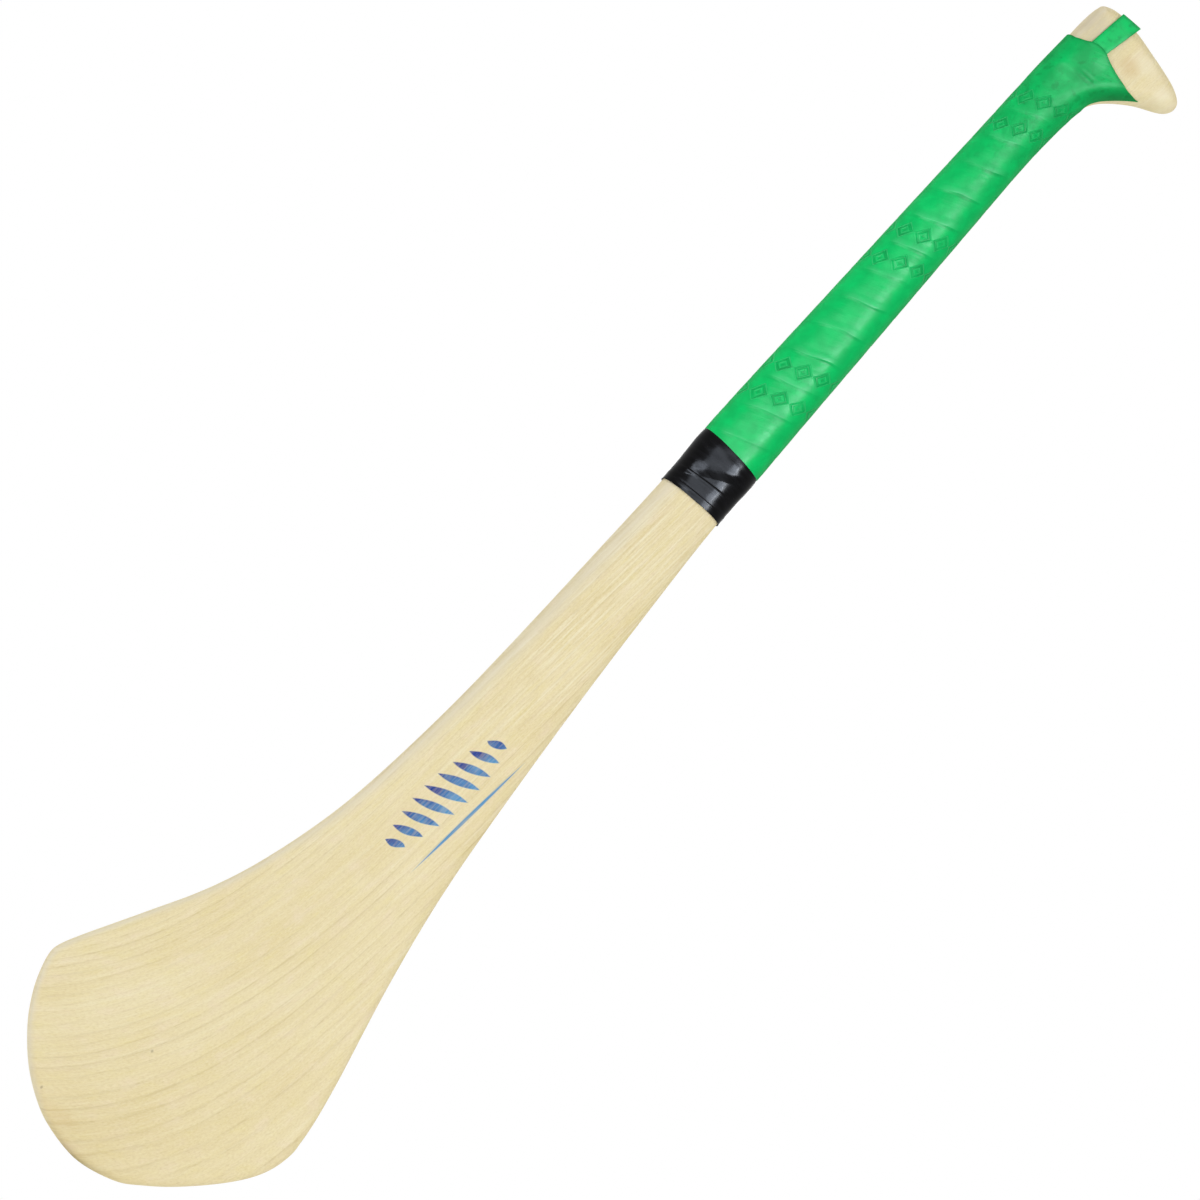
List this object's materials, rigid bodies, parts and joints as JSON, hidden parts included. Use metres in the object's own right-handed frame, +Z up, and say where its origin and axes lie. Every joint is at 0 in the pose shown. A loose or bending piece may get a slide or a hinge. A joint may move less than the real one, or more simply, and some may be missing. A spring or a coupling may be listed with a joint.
{
  "type": "hurling stick",
  "caption": "Ash hurling stick with a broad flat bas, a slim shaft and a hooked knob, with a wound hand grip, its starter strap, and a band of finishing tape at the foot of the grip.",
  "frame": {"origin": "middle of the hand grip, on the stick's centre plane", "axes": "+Z up the shaft from the bas to the knob, +X to the heel of the bas and the hook of the knob, +Y out of the back face"},
  "size_m": [0.1786, 0.032, 0.887],
  "materials": {
    "ash": "sanded bare ash",
    "strap": "soft green foam strip",
    "backing": "sticky backing film",
    "grip": "soft green grip strip",
    "tape": "gloss black tape"
  },
  "bodies": {
    "root": {"ash_stick": "ash", "starter_strap": "strap", "adhesive_backing": "backing", "grip_wrap": "grip", "finishing_tape": "tape"}
  },
  "joints": []
}
